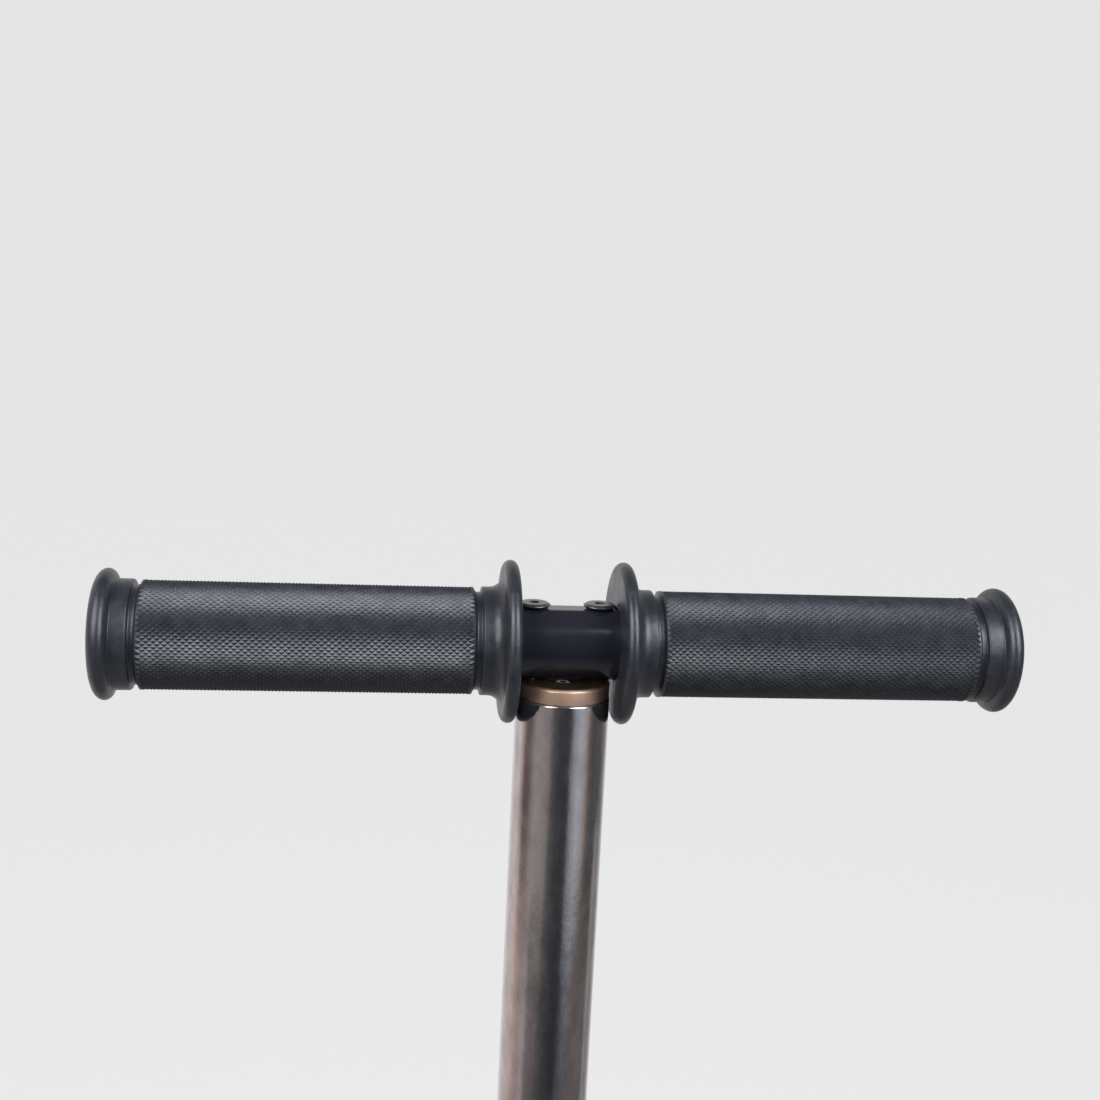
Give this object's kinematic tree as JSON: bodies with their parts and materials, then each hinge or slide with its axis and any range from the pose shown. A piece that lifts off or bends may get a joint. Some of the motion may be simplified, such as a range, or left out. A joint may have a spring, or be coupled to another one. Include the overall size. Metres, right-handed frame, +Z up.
{
  "type": "pogo stick",
  "caption": "Spring pogo stick: steel tube with a T-handle and flanged rubber grips, clamped footrests and a sliding sprung plunger on a rubber tip.",
  "frame": {"origin": "centre of the rubber tip's sole, on the floor under the tube", "axes": "+Z up along the tube, +X along the handlebar, +Y from the front of the stick towards its back"},
  "size_m": [0.2774, 0.049, 1.0483],
  "materials": {
    "polished_steel": "polished, with faint draw lines and a warm smoky tint",
    "bronze": "bronze anodised, lathe turned",
    "black_enamel": "gloss black",
    "black_rubber": "moulded, satin",
    "black_oxide": "black oxide",
    "bright_steel": "bright zinc plate",
    "spring_steel": "oiled spring steel",
    "nylon": "natural nylon"
  },
  "bodies": {
    "frame": {"main_tube": "polished_steel", "top_cap": "bronze", "cap_bolt": "black_oxide", "expansion_ring": "black_rubber", "plug_nut": "bright_steel", "handlebar": "black_enamel", "handlebar_screw_left": "black_oxide", "handlebar_screw_right": "black_oxide", "grip_left": "black_rubber", "grip_right": "black_rubber", "spring_seat": "bright_steel", "seat_bolt": "bright_steel", "seat_nut": "bright_steel", "seat_washer_front": "bright_steel", "seat_washer_back": "bright_steel", "main_spring": "spring_steel", "bottom_collar": "bronze", "collar_screw_1": "black_oxide", "collar_screw_2": "black_oxide", "collar_screw_3": "black_oxide", "guide_bushing": "nylon", "topout_bumper": "black_rubber", "wiper_seal": "black_rubber", "footrest_clamp_front": "black_enamel", "footrest_clamp_back": "black_enamel", "clamp_bolt_1": "bright_steel", "clamp_bolt_2": "bright_steel", "clamp_bolt_3": "bright_steel", "clamp_bolt_4": "bright_steel", "footrest_peg_left": "bright_steel", "footrest_peg_right": "bright_steel", "footrest_tread_left": "black_rubber", "footrest_tread_right": "black_rubber"},
    "plunger": {"plunger_head": "bright_steel", "wear_ring": "nylon", "head_pin": "bright_steel", "plunger_tube": "bright_steel", "bump_stop": "black_rubber", "tip_disc": "bright_steel", "rubber_tip": "black_rubber"}
  },
  "joints": [
    {"name": "plunger_slide", "type": "slide", "parent": "frame", "child": "plunger", "axis": [0, 0, 1], "range_m": [0, 0.095], "stiffness_N_per_m": 18000, "springref_m": -0.012, "deforming": ["main_spring"]}
  ]
}
